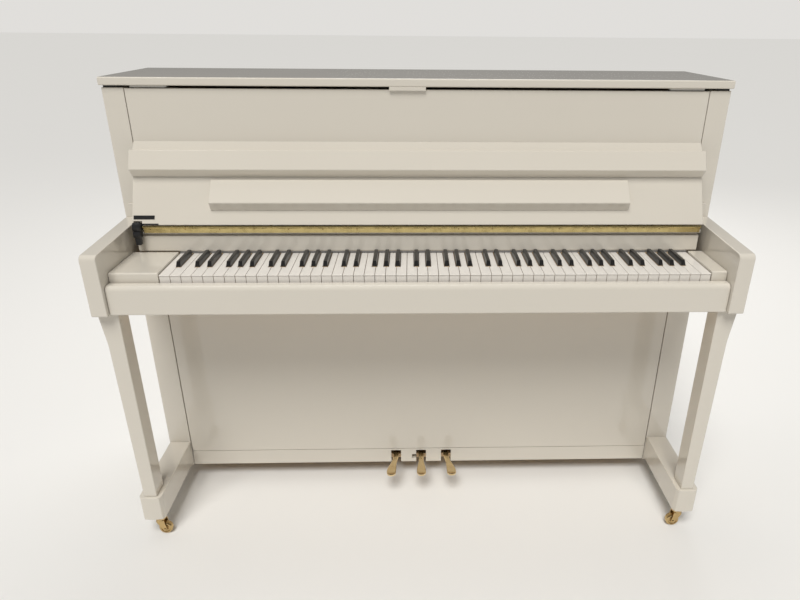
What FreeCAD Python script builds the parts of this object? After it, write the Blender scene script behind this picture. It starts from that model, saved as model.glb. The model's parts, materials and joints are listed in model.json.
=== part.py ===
# Upright piano, polished white, with a full keyboard, action, strung back, pedals and casters.
# +X is the player's right, -Y is the player's side, +Z is up; the origin is on the floor under
# the middle of the overall box. Millimetres.
import FreeCAD, Part
import math
import os
import re
import Sketcher
from FreeCAD import Placement, Rotation, Vector

doc = FreeCAD.newDocument("UprightPiano")

# ---------------------------------------------------------------- driving sizes
sizes = {
    "case_width": 1440, "case_depth": 560, "case_height": 1113,
    "side_thick": 34, "stile_width": 15, "stile_depth": 22, "low_stile_width": 24.5, "side_bottom": 46,
    "seam": 1, "lid_thick": 18, "lid_gap": 5, "lid_side_lap": 3, "lid_front_lap": 7, "lid_back_lap": 12,
    "arm_reach": 259, "arm_bottom": 639, "arm_top": 779, "arm_rise": 12,
    "ear_top": 826, "ear_width": 22, "ear_depth": 6, "arm_round": 12,
    "keybed_thick": 42, "slip_set": 11, "slip_thick": 25, "slip_top": 706, "slip_round": 11,
    "key_set": 39, "key_pitch": 23.56, "keyboard_shift": 36, "key_top": 722, "key_thick": 22,
    "key_gap": 0.9, "key_head": 50, "key_lip": 1.5,
    "sharp_width": 10.4, "sharp_length": 87, "sharp_height": 12, "sharp_gap": 1.8,
    "balance_set": 215, "key_tail_gap": 28,
    "block_top": 727,
    "leg_set": 24, "leg_depth": 49, "leg_inset": 46.5, "leg_foot": 32, "leg_knee": 36.5, "leg_head": 46,
    "leg_flare": 80, "toe_inset": 58, "toe_width": 57, "toe_bottom": 58, "toe_height": 70,
    "toe_set": 16.5, "toe_bow": 4, "toe_corner": 8,
    "rail_thick": 20, "rail_bottom": 48, "rail_height": 46, "slot_width": 28, "slot_top": 88,
    "lower_panel_top": 630, "lower_panel_thick": 18, "bottom_board_thick": 12,
    "upper_panel_thick": 20, "panel_foot": 782, "nose_bottom": 951.5, "nose_edge": 955,
    "nose_top": 972, "nose_reach": 17,
    "strip_front_set": 183, "strip_bottom": 726.5, "strip_top": 766.5, "strip_thick": 27,
    "strip_groove": 7.5, "strip_nose": 6,
    "hinge_set": 174, "hinge_height": 790, "knuckle_r": 3, "lean": 27, "board_thick": 20,
    "board_front": 5, "board_start": 4.2, "board_length": 154, "lip_gap": 1, "lip_thick": 25,
    "lip_back": 37, "lip_slant": 10, "lip_over": 20,
    "ledge_start": 38, "ledge_height": 72, "ledge_slant": 13,
    "ledge_thick": 21.5, "ledge_tip": 4, "ledge_half": 490,
    "drum_r": 12, "drum_width": 20, "drum_gap": 1.5,
    "pedal_pitch": 73, "pedal_pivot_set": 41, "pedal_height": 72, "pedal_thick": 12,
    "pedal_neck": 16, "pedal_toe": 26, "pedal_reach": 135, "pedal_tail": 98, "pedal_splay": 20,
    "rod_r": 5, "rod_gap": 16, "rod_top": 740,
    "post_depth": 78, "post_width": 60, "beam_height": 100, "beam_foot": 60, "foot_height": 70,
    "board_gap": 17, "soundboard_thick": 8, "rib_depth": 14, "plate_gap": 21, "plate_thick": 12,
    "string_gap": 8, "bass_gap": 5, "string_r": 0.6, "bass_string_r": 1.3,
    "pin_block_height": 85, "pin_block_thick": 36, "pin_r": 3.4, "pin_length": 24,
    "hammer_gap": 66, "hammer_pivot": 868, "strike": 985, "hammer_width": 9,
    "wheel_r": 17, "wheel_half": 8, "axle_r": 3, "running_gap": 0.06, "caster_inset": 38, "trail": 10,
    "crown_r": 14, "stem_r": 4,
    "rear_wheel_r": 25, "rear_wheel_half": 12, "rear_axle_r": 4, "rear_inset": 120,
    "cheek_in": 13, "cheek_out": 17,
    "prop_set": 40, "prop_end_gap": 21, "prop_width": 10, "prop_thick": 8,
}
sheet = doc.addObject("Spreadsheet::Sheet", "Sizes")
for row, (name, number) in enumerate(sizes.items(), start=1):
    sheet.set(f"A{row}", name)
    sheet.set(f"B{row}", str(number))
    sheet.setAlias(f"B{row}", name)

# ---------------------------------------------------------------- places worked out from them
places = doc.addObject("App::VarSet", "Places")
place_names = []


def bound(expression):
    """Write each size or place in an expression with the object that holds it."""
    def owner(match):
        word = match.group(0)
        if word in place_names:
            return "Places." + word
        return "Sizes." + word if word in sizes else word
    return re.sub(r"[a-z][a-z0-9_]*", owner, expression)


def place(name, expression):
    """Add a worked-out place, bound to the sizes it comes from."""
    places.addProperty("App::PropertyFloat", name)
    places.setExpression(name, bound(expression))
    place_names.append(name)


place("half_width", "case_width / 2")
place("case_front", "-case_depth / 2")
place("case_back", "case_depth / 2")
place("side_front", "case_front + arm_reach")
place("side_back", "case_back - lid_back_lap")
place("lid_bottom", "case_height - lid_thick")
place("side_top", "lid_bottom - lid_gap")
place("side_inner", "half_width - side_thick")
place("stile_inner", "side_inner - stile_width")
place("low_inner", "side_inner - low_stile_width")
place("arm_inner", "side_inner - seam")
place("key_front", "case_front + key_set")

place("balance_y", "key_front + balance_set")
place("keyboard_half", "26 * key_pitch")
place("keys_left", "keyboard_shift - keyboard_half")
place("keys_right", "keyboard_shift + keyboard_half")
place("slip_front", "case_front + slip_set")
place("slip_back", "slip_front + slip_thick")
place("keybed_top", "arm_bottom + keybed_thick")
place("key_bottom", "key_top - key_thick")
place("leg_inner", "half_width - leg_inset")
place("toe_inner", "half_width - toe_inset")
place("caster_x", "half_width - caster_inset")
place("rear_x", "half_width - rear_inset")
place("toe_top", "toe_bottom + toe_height")
place("rail_top", "rail_bottom + rail_height")
place("hinge_y", "case_front + hinge_set")
place("strip_front", "case_front + strip_front_set")
place("posts_front", "side_back - post_depth")
place("soundboard_back", "posts_front - board_gap")
place("soundboard_front", "soundboard_back - soundboard_thick")
place("plate_back", "soundboard_front - plate_gap")
place("plate_front", "plate_back - plate_thick")
place("strings_y", "plate_front - string_gap")
place("bass_y", "strings_y - bass_gap")
place("hammer_y", "strings_y - hammer_gap")
place("key_back", "strings_y - key_tail_gap")
place("keybed_back", "key_back + 2")
place("rods_y", "strings_y - rod_gap")
place("pedal_y", "side_front + pedal_pivot_set")
place("plate_top", "lid_bottom - 20")
place("back_top", "side_top - 1")
place("pins_low", "plate_top - 55")
doc.recompute()


def size(name):
    """Read one size or place as a number."""
    return getattr(places, name) if name in place_names else float(sheet.get(name))


# ---------------------------------------------------------------- ways of making a piece
pieces = []


def piece(item, label):
    """Name a finished piece and list it for the export."""
    item.Label = label
    pieces.append(item)
    return item


def flipped(pair):
    """The same stretch on the other side of the middle."""
    return f"-({pair[1]})", f"-({pair[0]})"


def box(name, x, y, z):
    """A box between low and high limits on each axis."""
    item = doc.addObject("Part::Box", name)
    for prop, axis, (low, high) in (("Length", "x", x), ("Width", "y", y), ("Height", "z", z)):
        item.setExpression(prop, bound(f"({high}) - ({low})"))
        item.setExpression(f"Placement.Base.{axis}", bound(low))
    return item


def cylinder(name, radius, axis, centre, span):
    """A cylinder along X, Y or Z, with its centre line and its two ends."""
    item = doc.addObject("Part::Cylinder", name)
    turns = {"x": Rotation(Vector(0, 1, 0), 90), "y": Rotation(Vector(-1, 0, 0), 90), "z": Rotation()}
    item.Placement = Placement(Vector(), turns[axis])
    item.setExpression("Radius", bound(radius))
    item.setExpression("Height", bound(f"({span[1]}) - ({span[0]})"))
    others = [letter for letter in "xyz" if letter != axis]
    for letter, value in zip(others, centre):
        item.setExpression(f"Placement.Base.{letter}", bound(value))
    item.setExpression(f"Placement.Base.{axis}", bound(span[0]))
    return item


def fused(name, parts):
    item = doc.addObject("Part::MultiFuse", name)
    item.Shapes = parts
    item.Refine = True
    return item


def cut(name, base, tools):
    """Take one tool, or several fused tools, from a base."""
    item = doc.addObject("Part::Cut", name)
    item.Base = base
    item.Tool = tools[0] if len(tools) == 1 else fused(name + "_tools", tools)
    item.Refine = True
    return item


def grouped(name, parts):
    """Separate solids that share one node."""
    item = doc.addObject("Part::Compound", name)
    item.Links = parts
    return item


plane_roles = {"yz": "YZ_Plane", "xz": "XZ_Plane", "xy": "XY_Plane"}


def outline(body, name, plane, corners, offset):
    """A closed sketch of straight sides whose corners are bound to sizes."""
    sketch = body.newObject("Sketcher::SketchObject", name)
    support = [item for item in body.Origin.OriginFeatures if item.Role == plane_roles[plane]][0]
    sketch.AttachmentSupport = [(support, "")]
    sketch.MapMode = "FlatFace"
    sketch.setExpression("AttachmentOffset.Base.z", bound(offset))
    probe = doc.addObject("App::VarSet", "Probe")
    numbers = []
    for index, pair in enumerate(corners):
        for axis, value in zip("xy", pair):
            probe.addProperty("App::PropertyFloat", f"{axis}{index}")
            probe.setExpression(f"{axis}{index}", bound(value))
    probe.recompute()
    for index in range(len(corners)):
        numbers.append(Vector(getattr(probe, f"x{index}"), getattr(probe, f"y{index}"), 0))
    doc.removeObject(probe.Name)
    count = len(corners)
    for index in range(count):
        sketch.addGeometry(Part.LineSegment(numbers[index], numbers[(index + 1) % count]))
    for index in range(count):
        sketch.addConstraint(Sketcher.Constraint("Coincident", index, 2, (index + 1) % count, 1))
    for index, pair in enumerate(corners):
        for kind, value, number in zip(("DistanceX", "DistanceY"), pair, (numbers[index].x, numbers[index].y)):
            made = sketch.addConstraint(Sketcher.Constraint(kind, -1, 1, index, 1, number))
            label = f"{kind}{index}"
            sketch.renameConstraint(made, label)
            sketch.setExpression(f"Constraints.{label}", bound(value))
    return sketch


def solid(name, plane, corners, span, rounds=None, turn=None):
    """A padded outline from one place to another across its plane, with some corners rounded.

    rounds maps a radius to the numbers of the corners that take it; turn sets the body on the
    slanted frame of the fallboard."""
    body = doc.addObject("PartDesign::Body", name)
    offset = f"-({span[1]})" if plane == "xz" else span[0]
    sketch = outline(body, name + "_outline", plane, corners, offset)
    pad = body.newObject("PartDesign::Pad", name + "_pad")
    pad.Profile = sketch
    pad.setExpression("Length", bound(f"({span[1]}) - ({span[0]})"))
    doc.recompute()
    for radius, numbers in (rounds or {}).items():
        round_corners(body, sketch, radius, numbers)
    if turn:
        body.Placement = Placement(Vector(), Rotation(Vector(-1, 0, 0), size("lean")))
        body.setExpression("Placement.Rotation.Angle", bound("lean"))
        body.setExpression("Placement.Base.y", bound("hinge_y"))
        body.setExpression("Placement.Base.z", bound("hinge_height"))
    return body


def round_corners(body, sketch, radius, numbers):
    """Round the edges that rise from these corners of the sketch."""
    normal = sketch.Placement.Rotation.multVec(Vector(0, 0, 1))
    tip = body.Tip
    names = []
    for number in numbers:
        corner = sketch.Placement.multVec(sketch.Geometry[number].StartPoint)
        for index, edge in enumerate(tip.Shape.Edges, start=1):
            first, last = edge.Vertexes[0].Point, edge.Vertexes[-1].Point
            along = (last - first).normalize() if edge.Length > 0.01 else Vector()
            gap = (first - corner) - normal * (first - corner).dot(normal)
            if abs(along.dot(normal)) > 0.999 and gap.Length < 0.001:
                names.append(f"Edge{index}")
    fillet = body.newObject("PartDesign::Fillet", f"{body.Name}_round_{len(body.Group)}")
    fillet.Base = (tip, names)
    fillet.setExpression("Radius", bound(radius))
    doc.recompute()


def shaped(name, shape):
    """A piece whose shape is made by code from the sizes."""
    item = doc.addObject("Part::Feature", name)
    item.Shape = shape
    return item


def prism(points, axis, low, high):
    """A straight-sided solid: 2-D points on the plane across an axis, pushed along it."""
    place_point = {
        "x": lambda a, b: Vector(low, a, b),
        "y": lambda a, b: Vector(a, low, b),
        "z": lambda a, b: Vector(a, b, low),
    }[axis]
    push = {"x": Vector(high - low, 0, 0), "y": Vector(0, high - low, 0), "z": Vector(0, 0, high - low)}[axis]
    corners = [place_point(a, b) for a, b in points]
    return Part.Face(Part.makePolygon(corners + corners[:1])).extrude(push)


# ---------------------------------------------------------------- case: sides, arms, legs
both_sides = (("left", flipped), ("right", lambda pair: pair))
sign_of = {"left": -1, "right": 1}

for hand, side in both_sides:
    board = box(f"side_board_{hand}", side(("side_inner", "half_width")), ("side_front", "side_back"),
                ("side_bottom", "side_top"))
    stile = box(f"stile_{hand}", side(("stile_inner", "side_inner + 1")),
                ("side_front", "side_front + stile_depth"), ("panel_foot", "side_top"))
    low_stile = box(f"low_stile_{hand}", side(("low_inner", "side_inner + 1")),
                    ("side_front", "side_front + stile_depth"), ("side_bottom", "arm_bottom - 1"))
    piece(fused(f"side_panel_{hand}_solid", [board, stile, low_stile]), f"side_panel_{hand}")

arm_corners = [
    ("case_front", "arm_bottom"), ("case_front", "arm_top"),
    ("side_front", "arm_top + arm_rise"), ("side_front", "arm_bottom"),
]
for hand, side in both_sides:
    arm = solid(f"arm_body_{hand}", "yz", arm_corners, side(("arm_inner", "half_width")),
                {"arm_round": [1], "arm_round / 3": [0]})
    ear = box(f"arm_ear_{hand}", side(("arm_inner", "arm_inner + ear_width")),
              ("side_front - ear_depth", "side_front"), ("arm_top", "ear_top"))
    piece(fused(f"arm_solid_{hand}", [arm, ear]), f"arm_{hand}")

block_corners = [
    ("key_front", "keybed_top"), ("key_front", "block_top"),
    ("strip_front - seam", "block_top"), ("strip_front - seam", "keybed_top"),
]
piece(solid("block_body_left", "yz", block_corners, ("-arm_inner + seam / 2", "keys_left - seam"),
            {"4 * seam": [1]}), "key_block_left")
piece(solid("block_body_right", "yz", block_corners, ("keys_right + seam", "arm_inner - seam / 2"),
            {"4 * seam": [1]}), "key_block_right")

piece(box("keybed_board", ("-arm_inner + seam / 2", "arm_inner - seam / 2"), ("slip_back", "keybed_back"),
          ("arm_bottom", "keybed_top")), "keybed")

slip_corners = [
    ("slip_front", "arm_bottom"), ("slip_front", "slip_top"),
    ("slip_back", "slip_top"), ("slip_back", "arm_bottom"),
]
piece(solid("slip_body", "yz", slip_corners, ("-arm_inner + seam / 2", "arm_inner - seam / 2"),
            {"slip_round": [1], "slip_round / 4": [0, 2]}), "key_slip")

for hand, sign in (("left", "-"), ("right", "")):
    leg_corners = [
        (f"{sign}leg_inner", "toe_top"), (f"{sign}(leg_inner + leg_foot)", "toe_top"),
        (f"{sign}(leg_inner + leg_knee)", "arm_bottom - leg_flare"),
        (f"{sign}(leg_inner + leg_head)", "arm_bottom"), (f"{sign}leg_inner", "arm_bottom"),
    ]
    piece(solid(f"leg_body_{hand}", "xz", leg_corners,
                ("case_front + leg_set", "case_front + leg_set + leg_depth"),
                {"2 * leg_flare": [2]}), f"leg_{hand}")

for hand, sign in (("left", "-"), ("right", "")):
    outer = f"{sign}(toe_inner + toe_width)"
    inner = f"{sign}toe_inner"
    toe_front = "case_front + toe_set"
    toe_corners = [(inner, "side_front"), (inner, f"{toe_front} + toe_bow + toe_corner"),
                   (f"{sign}(toe_inner + toe_corner * 0.7)", f"{toe_front} + toe_bow / 2"),
                   (f"{sign}(toe_inner + toe_width / 2)", toe_front),
                   (f"{sign}(toe_inner + toe_width - toe_corner * 0.7)", f"{toe_front} + toe_bow / 2"),
                   (outer, f"{toe_front} + toe_bow + toe_corner"), (outer, "side_front")]
    piece(solid(f"toe_body_{hand}", "xy", toe_corners, ("toe_bottom", "toe_top"),
                {"toe_corner / 2": [1, 2, 4, 5]}), f"toe_block_{hand}")

# ---------------------------------------------------------------- case: panels and rails
piece(box("bottom_board_box", ("-side_inner + seam", "side_inner - seam"),
          ("side_front + stile_depth + seam", "posts_front - 2 * board_gap"),
          ("rail_bottom", "rail_bottom + bottom_board_thick")), "bottom_board")

rail = box("rail_board", ("-low_inner + seam", "low_inner - seam"),
           ("side_front + seam", "side_front + seam + rail_thick"), ("rail_bottom", "rail_top"))
slots = []
for index, middle in enumerate(("-pedal_pitch", "0", "pedal_pitch")):
    slots.append(box(f"pedal_slot_{index}", (f"{middle} - slot_width / 2", f"{middle} + slot_width / 2"),
                     ("side_front - 5", "side_front + rail_thick + 5"), ("rail_bottom - 5", "slot_top")))
slots.append(box("locking_notch", ("-slot_width / 2 - 12", "0"),
                 ("side_front - 5", "side_front + rail_thick + 5"),
                 ("slot_top - 29", "slot_top - 15")))
piece(cut("bottom_rail_cut", rail, slots), "bottom_rail")

piece(box("lower_board", ("-low_inner + 2 * seam", "low_inner - 2 * seam"),
          ("side_front", "side_front + lower_panel_thick"), ("rail_top + 1.5 * seam", "lower_panel_top")),
      "lower_panel")

upper_corners = [
    ("side_front + upper_panel_thick", "panel_foot"), ("side_front + upper_panel_thick", "side_top - 1"),
    ("side_front", "side_top - 1"), ("side_front", "nose_top"),
    ("side_front - nose_reach", "nose_edge"), ("side_front - nose_reach", "nose_bottom"),
    ("side_front", "nose_bottom"), ("side_front", "panel_foot"),
]
piece(solid("upper_board", "yz", upper_corners, ("-stile_inner + 1.5 * seam", "stile_inner - 1.5 * seam"),
            {"1.5 * seam": [2, 4]}), "upper_panel")

strip_corners = [
    ("strip_front", "strip_bottom"), ("strip_front", "strip_top"),
    ("strip_front + 9", "strip_top"), ("strip_front + 9", "strip_top + strip_groove"),
    ("strip_front - strip_nose", "strip_top + strip_groove"), ("strip_front - strip_nose", "panel_foot"),
    ("strip_front + strip_thick", "panel_foot"), ("strip_front + strip_thick", "strip_bottom"),
]
strip = solid("strip_body", "yz", strip_corners, ("-stile_inner + seam", "stile_inner - seam"),
              {"5 * seam": [0], "2.5 * seam": [1]})
drum_room = box("drum_room", ("-stile_inner", "-stile_inner + drum_width + 3 * seam"),
                ("strip_front - strip_nose - seam", "hinge_y + drum_r + drum_gap"),
                ("hinge_height - drum_r - drum_gap", "panel_foot + seam"))
piece(cut("strip_notched", strip, [drum_room]), "name_strip")

leaf = box("hinge_leaf", ("-stile_inner + drum_width + 3 * seam", "stile_inner - 4 * seam"),
           ("strip_front - strip_nose - 1.4", "strip_front - strip_nose"),
           ("panel_foot - 6", "hinge_height - 1"))
knuckle = cylinder("hinge_knuckle", "knuckle_r", "x", ("hinge_y", "hinge_height"),
                   ("-stile_inner + drum_width + 3 * seam", "stile_inner - 4 * seam"))
piece(fused("fallboard_hinge_solid", [leaf, knuckle]), "fallboard_hinge")

lid_corners = [
    ("side_front - lid_front_lap", "lid_bottom"), ("side_front - lid_front_lap", "case_height"),
    ("case_back", "case_height"), ("case_back", "lid_bottom"),
]
piece(solid("lid_board", "yz", lid_corners, ("-half_width - lid_side_lap", "half_width + lid_side_lap"),
            {"4 * seam": [1, 2], "3 * seam": [0]}), "top_lid")

lid_leaf = box("lid_hinge_leaf", ("-stile_inner + 30", "stile_inner - 30"),
               ("side_back - 16", "side_back + 3.5"), ("back_top", "back_top + 1.5"))
lid_knuckle = cylinder("lid_hinge_knuckle", "2.4", "x", ("side_back + 3.5", "lid_bottom - 3"),
                       ("-stile_inner + 30", "stile_inner - 30"))
piece(fused("lid_hinge_solid", [lid_leaf, lid_knuckle]), "lid_hinge")

piece(box("lid_prop_stick", ("-stile_inner + 8", "-stile_inner + 8 + prop_width"),
          ("side_front + prop_set", "posts_front - prop_end_gap"),
          ("lid_bottom - 1 - prop_thick", "lid_bottom - 1")), "lid_prop")

# ---------------------------------------------------------------- fallboard family
# Drawn upright on the hinge line: Z runs along the board, -Y is the side that faces the player.
fall_half = ("-stile_inner + 0.5", "stile_inner - 0.5")
board_corners = [
    ("-board_front", "board_start"), ("-board_front", "board_length"),
    ("board_thick - board_front", "board_length"), ("board_thick - board_front", "board_start"),
]
fall_board = solid("fall_board", "yz", board_corners, fall_half, {"2 * seam": [0, 2], "seam": [1]},
                   turn=True)
notch_corners = [
    ("-board_thick", "0"), ("-board_thick", "drum_r + drum_gap"),
    ("board_thick", "drum_r + drum_gap"), ("board_thick", "0"),
]
notch = solid("fall_notch", "yz", notch_corners, ("-stile_inner - seam", "-stile_inner + drum_width + 3 * seam"),
              {}, turn=True)
piece(cut("fall_notched", fall_board, [notch]), "fallboard")

lip_corners = [
    ("-board_front - lip_gap - lip_thick", "board_length - lip_back + lip_slant"),
    ("-board_front - lip_gap - lip_thick", "board_length + lip_over"),
    ("-board_front - lip_gap", "board_length + lip_over"),
    ("-board_front - lip_gap", "board_length - lip_back"),
]
piece(solid("lip_board", "yz", lip_corners, fall_half, {"3 * seam": [0, 1], "2 * seam": [2]}, turn=True),
      "fallboard_lip")

ledge_corners = [
    ("-board_front - seam / 2", "ledge_start"),
    ("-board_front - seam / 2 - ledge_thick", "ledge_start + ledge_slant"),
    ("-board_front - seam / 2 - ledge_tip", "ledge_start + ledge_height"),
    ("-board_front - seam / 2", "ledge_start + ledge_height"),
]
piece(solid("ledge_board", "yz", ledge_corners, ("-ledge_half", "ledge_half"),
            {"3 * seam": [1], "seam": [2]}, turn=True), "music_ledge")

damper_drum = cylinder("damper_drum", "drum_r", "x", ("hinge_y", "hinge_height"),
                       ("-stile_inner + seam", "-stile_inner + seam + drum_width"))
damper_foot = box("damper_foot", ("-stile_inner + 4", "-stile_inner + 16"),
                  ("hinge_y - 7", "hinge_y + 1.4"), ("hinge_height - 40", "hinge_height - 8"))
piece(fused("damper_solid", [damper_drum, damper_foot]), "fallboard_damper")

# ---------------------------------------------------------------- back: posts, soundboard, plate
post_parts = []
for index in range(5):
    middle = f"({index} - 2) * (side_inner - 126) / 2"
    post_parts.append(box(f"post_{index}", (f"{middle} - post_width / 2", f"{middle} + post_width / 2"),
                          ("posts_front", "side_back"), ("beam_foot + foot_height", "back_top - beam_height")))
post_parts.append(box("top_beam", ("-side_inner + seam", "side_inner - seam"), ("posts_front - 8", "side_back"),
                      ("back_top - beam_height", "back_top")))
post_parts.append(box("foot_beam", ("-side_inner + seam", "side_inner - seam"), ("posts_front - 8", "side_back"),
                      ("beam_foot", "beam_foot + foot_height")))
piece(grouped("back_frame_parts", post_parts), "back_frame")

piece(box("soundboard_sheet", ("-side_inner + 26", "side_inner - 26"), ("soundboard_front", "soundboard_back"),
          ("beam_foot + foot_height + 2", "back_top - beam_height - 2")), "soundboard")


def soundboard_ribs():
    """Slanting bars glued across the back of the soundboard, trimmed to its edges."""
    low, high = size("beam_foot") + size("foot_height") + 20, size("back_top") - size("beam_height") - 20
    half = size("side_inner") - 46
    front = size("soundboard_back")
    field = Part.makeBox(2 * half, size("rib_depth"), high - low, Vector(-half, front, low))
    slant = math.radians(38)
    across = Vector(math.cos(slant), 0, -math.sin(slant))
    bars = []
    count = 9
    for index in range(count):
        middle = Vector(0, front, low + (index - 1.5) * (high - low) / (count - 4))
        ends = [middle + across * reach for reach in (-2 * half, 2 * half)]
        up = Vector(math.sin(slant), 0, math.cos(slant)) * 11
        corners = [ends[0] - up, ends[1] - up, ends[1] + up, ends[0] + up]
        bar = Part.Face(Part.makePolygon(corners + corners[:1])).extrude(Vector(0, size("rib_depth"), 0))
        trimmed = bar.common(field)
        bars.extend(part for part in trimmed.Solids if part.Volume > 20000)
    return Part.makeCompound(bars)


piece(shaped("rib_set", soundboard_ribs()), "soundboard_ribs")

plate = box("plate_sheet", ("-side_inner + 41", "side_inner - 41"), ("plate_front", "plate_back"),
            ("beam_foot + 80", "plate_top"))
plate_windows = []
strut_x = ("-side_inner * 0.262", "side_inner * 0.335")
window_limits = (("-side_inner + 86", f"{strut_x[0]} - 15"), (f"{strut_x[0]} + 15", f"{strut_x[1]} - 15"),
                 (f"{strut_x[1]} + 15", "side_inner - 86"))
for index, limits in enumerate(window_limits):
    plate_windows.append(box(f"plate_window_{index}", limits, ("plate_front - 5", "plate_back + 5"),
                             ("beam_foot + 190", "plate_top - 175")))
piece(cut("plate_cut", plate, plate_windows), "iron_plate")


def bridges():
    """Treble bridge notched under the plate's struts, and the shorter bass bridge."""
    rise = size("plate_top") - size("beam_foot")
    base = size("beam_foot")
    half = size("side_inner")
    back = size("soundboard_front")
    parts = []
    treble = [(-0.8 * half, base + 0.22 * rise), (-0.2 * half, base + 0.36 * rise),
              (0.4 * half, base + 0.58 * rise), (0.84 * half, base + 0.78 * rise)]
    lines = [treble + [(x, z + 34) for x, z in reversed(treble)]]
    bass = [(-0.12 * half, base + 0.2 * rise), (0.27 * half, base + 0.24 * rise)]
    lines.append(bass + [(x, z + 34) for x, z in reversed(bass)])
    for outline_points, front in zip(lines, (size("strings_y") + 0.8, size("bass_y") + 1.6)):
        parts.append(prism(outline_points, "y", front, back))
    strut_middles = (-0.262 * half, 0.335 * half)
    for middle in strut_middles:
        notch = Part.makeBox(34, size("plate_back") + 2 - size("strings_y"), 2 * rise,
                             Vector(middle - 17, size("strings_y"), 0))
        parts[0] = parts[0].cut(notch)
    return Part.makeCompound(parts)


piece(shaped("bridge_set", bridges()), "bridges")

piece(box("pin_block_board", ("-side_inner + 41", "side_inner - 41"),
          ("plate_back", "plate_back + pin_block_thick"), ("plate_top - pin_block_height", "plate_top")),
      "pin_block")


def tuning_pins():
    """Three rows of pins that stand out of the plate."""
    pins = []
    count = 44
    reach = size("side_inner") - 90
    for row in range(3):
        for index in range(count):
            x = -reach + 2 * reach * (index + row / 3) / count
            start = Vector(x, size("plate_front") - size("pin_length"), size("pins_low") + 15 * row)
            pins.append(Part.makeCylinder(size("pin_r"), size("pin_length"), start, Vector(0, 1, 0)))
    return Part.makeCompound(pins)


piece(shaped("pin_set", tuning_pins()), "tuning_pins")


def strings():
    """One string for each note: the bass crosses in front of the rest."""
    wires = []
    count = 88
    bass_count = 26
    half = size("side_inner")
    top = size("pins_low") - 8
    base = size("beam_foot")
    rise = size("plate_top") - base
    for index in range(count):
        share = index / (count - 1)
        top_x = half * (-0.84 + 1.7 * share)
        if index < bass_count:
            inner = index / (bass_count - 1)
            foot = Vector(half * (-0.08 + 0.3 * inner), size("bass_y"), base + rise * 0.15)
            head = Vector(top_x, size("bass_y"), top)
            radius = size("bass_string_r")
        else:
            inner = (index - bass_count) / (count - 1 - bass_count)
            foot = Vector(half * (-0.72 + 1.5 * inner), size("strings_y"), base + rise * (0.15 + 0.5 * inner))
            head = Vector(top_x, size("strings_y"), top)
            radius = size("string_r")
        wires.append(Part.makeCylinder(radius, (head - foot).Length, foot, head - foot))
    return Part.makeCompound(wires)


piece(shaped("string_set", strings()), "strings")

# ---------------------------------------------------------------- action
frame_x = ("keys_left", "keys_right")
frame_parts = [
    box("front_key_rail", frame_x, ("key_front + 5", "key_front + 45"), ("keybed_top", "keybed_top + 7")),
    box("balance_rail", frame_x, ("balance_y - 10", "balance_y + 10"), ("keybed_top", "key_bottom - 1")),
    box("back_key_rail", frame_x, ("key_back - 36", "key_back - 4"), ("keybed_top", "key_bottom - 1")),
]
piece(grouped("key_frame_parts", frame_parts), "key_frame")

action_parts = []
for index, middle in enumerate(("keys_left - 16", "keys_right + 8")):
    action_parts.append(box(f"action_bracket_{index}", (middle, f"{middle} + 8"),
                            ("hammer_y - 30", "hammer_y + 34"), ("keybed_top", "strike + 8")))
for index, share in enumerate((0.36, 0.7)):
    middle = f"keys_left + {share} * 2 * keyboard_half"
    action_parts.append(box(f"action_bracket_mid_{index}", (middle, f"{middle} + 8"),
                            ("hammer_y + 9", "hammer_y + 27"), ("key_top + 20", "hammer_pivot + 5")))
for name, low, high in (("wippen_rail", "key_top + 45", "key_top + 62"),
                        ("butt_rail", "hammer_pivot - 15", "hammer_pivot + 5")):
    action_parts.append(box(name, ("keys_left - 16", "keys_right + 16"), ("hammer_y + 9", "hammer_y + 27"),
                            (low, high)))
piece(fused("action_frame_solid", action_parts), "action_frame")


def hammer_row():
    """A felt-headed hammer on its shank for each note, leaning back from the strings."""
    pivot_y, pivot_z = size("hammer_y"), size("hammer_pivot")
    head = size("strike") - pivot_z
    profile = [(-4, 2), (4, 2), (2, 18), (-3, head - 10), (12, head - 7), (15, head), (12, head + 7),
               (-10, head + 9), (-12, head - 9), (-7, head - 12)]
    points = [(pivot_y + a, pivot_z + b) for a, b in profile]
    return note_row(points, 88, size("hammer_width"))


def note_row(points, count, width):
    """The same profile once for each of the lowest notes, spread evenly over the keyboard."""
    pitch = 2 * size("keyboard_half") / 88
    start = size("keys_left") + pitch / 2
    return Part.makeCompound([
        prism(points, "x", start + pitch * index - width / 2, start + pitch * index + width / 2)
        for index in range(count)
    ])


piece(shaped("hammer_set", hammer_row()), "hammers")
piece(box("hammer_rest", frame_x, ("hammer_y - 22", "hammer_y - 13"), ("strike - 45", "strike - 33")),
      "hammer_rail")


def damper_row():
    """A lever, wire and felt-faced head for each damped note."""
    back = size("bass_y") - 1.6
    foot = size("hammer_pivot") - 100
    profile = [(-22, 0), (-14, 0), (-13, 60), (0, 62), (0, 160), (-12, 160), (-15, 64)]
    return note_row([(back + a, foot + b) for a, b in profile], 66, 8)


piece(shaped("damper_set", damper_row()), "dampers")
piece(box("mute_felt", ("keys_left", "keys_right - 60"), ("bass_y - 19", "bass_y - 13"),
          ("strike + 25", "strike + 70")), "mute_rail")

# ---------------------------------------------------------------- keyboard
natural_steps = (0, 2, 4, 5, 7, 9, 11)
sharp_shifts = {1: -1.9, 3: 1.9, 6: -2.9, 8: 0, 10: 2.9}


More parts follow.
